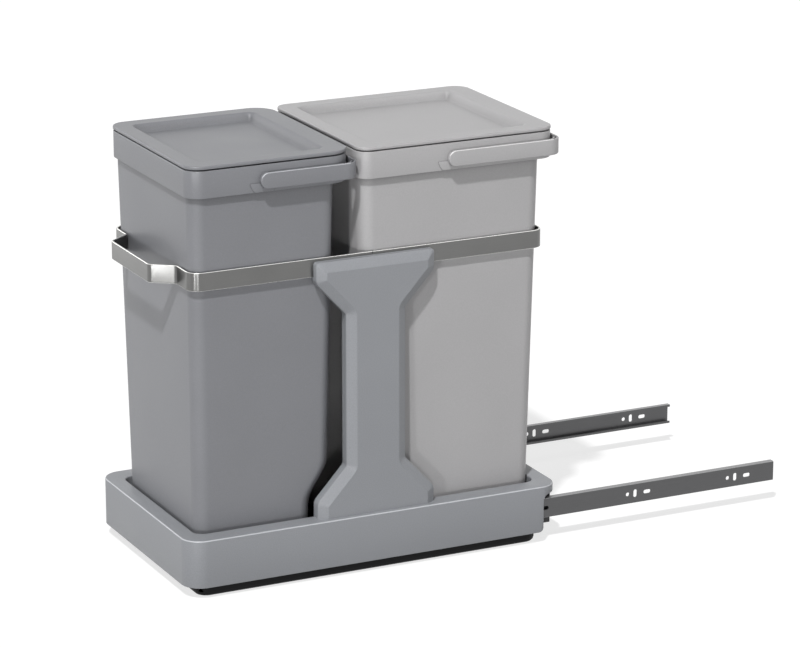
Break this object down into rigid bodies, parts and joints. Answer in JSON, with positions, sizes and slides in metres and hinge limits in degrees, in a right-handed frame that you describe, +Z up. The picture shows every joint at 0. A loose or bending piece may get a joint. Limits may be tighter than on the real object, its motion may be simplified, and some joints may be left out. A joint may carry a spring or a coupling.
{
  "type": "pull out bin frame",
  "caption": "Cabinet pull out bin frame: a tray on ball bearing slides with side pillars and a steel hoop and pull, holding lidded bins with swing handles.",
  "frame": {"origin": "under the middle of the tray, in the plane of the base's underside", "axes": "+Z up; -Y towards the front, where the pull is; +Y to the rear, where the cabinet rails run; +X to the right"},
  "size_m": [0.253, 0.7242, 0.4626],
  "materials": {
    "grey_moulding": "fine grained moulded plastic, mid grey",
    "front_bin_plastic": "satin moulded plastic, mid grey",
    "rear_bin_plastic": "satin moulded plastic, pale grey",
    "black_moulding": "black moulded plastic",
    "black_steel": "black powder coated sheet steel",
    "rail_steel": "dark zinc plated steel",
    "strip_steel": "brushed stainless steel strip",
    "ball_steel": "polished bearing steel",
    "screw_steel": "bright zinc plated steel"
  },
  "bodies": {
    "cabinet_rails": {"right_cabinet_rail": "rail_steel", "left_cabinet_rail": "rail_steel"},
    "right_cage": {"right_ball_cage": "black_moulding", "right_balls": "ball_steel"},
    "left_cage": {"left_ball_cage": "black_moulding", "left_balls": "ball_steel"},
    "tray": {"right_drawer_rail": "rail_steel", "left_drawer_rail": "rail_steel", "right_side_plate": "black_steel", "left_side_plate": "black_steel", "front_crossbar": "black_steel", "rear_crossbar": "black_steel", "rail_screws": "screw_steel", "base_pan": "black_moulding", "tray_cover": "grey_moulding", "right_pillar": "grey_moulding", "left_pillar": "grey_moulding", "pillar_screws": "screw_steel", "front_hoop": "strip_steel", "rear_hoop": "strip_steel", "hoop_screws": "screw_steel"},
    "front_bin_body": {"front_bin": "front_bin_plastic"},
    "front_lid_body": {"front_lid": "front_bin_plastic"},
    "front_bail_body": {"front_bail": "front_bin_plastic"},
    "rear_bin_body": {"rear_bin": "rear_bin_plastic"},
    "rear_lid_body": {"rear_lid": "rear_bin_plastic"},
    "rear_bail_body": {"rear_bail": "rear_bin_plastic"}
  },
  "joints": [
    {"name": "pull_out", "type": "slide", "parent": "cabinet_rails", "child": "tray", "axis": [0, 1, 0], "range_m": [0, 0.3]},
    {"name": "right_cage_run", "type": "slide", "parent": "cabinet_rails", "child": "right_cage", "axis": [0, 1, 0], "range_m": [0, 0.15]},
    {"name": "left_cage_run", "type": "slide", "parent": "cabinet_rails", "child": "left_cage", "axis": [0, 1, 0], "range_m": [0, 0.15]},
    {"name": "front_bin_lift", "type": "slide", "parent": "tray", "child": "front_bin_body", "axis": [0, 0, 1], "range_m": [0, 0.345]},
    {"name": "rear_bin_lift", "type": "slide", "parent": "tray", "child": "rear_bin_body", "axis": [0, 0, 1], "range_m": [0, 0.345]},
    {"name": "front_lid_lift", "type": "slide", "parent": "front_bin_body", "child": "front_lid_body", "axis": [0, 0, 1], "range_m": [0, 0.03]},
    {"name": "rear_lid_lift", "type": "slide", "parent": "rear_bin_body", "child": "rear_lid_body", "axis": [0, 0, 1], "range_m": [0, 0.03]},
    {"name": "front_bail_swing", "type": "hinge", "parent": "front_bin_body", "child": "front_bail_body", "pos_m": [0, -0.1148, 0.4415], "axis": [1, 0, 0], "range_deg": [0, 180]},
    {"name": "rear_bail_swing", "type": "hinge", "parent": "rear_bin_body", "child": "rear_bail_body", "pos_m": [0, 0.1007, 0.4415], "axis": [1, 0, 0], "range_deg": [0, 150]}
  ],
  "couplings": [
    {"joint": "right_cage_run", "follows": "pull_out", "ratio": 0.5},
    {"joint": "left_cage_run", "follows": "pull_out", "ratio": 0.5}
  ]
}
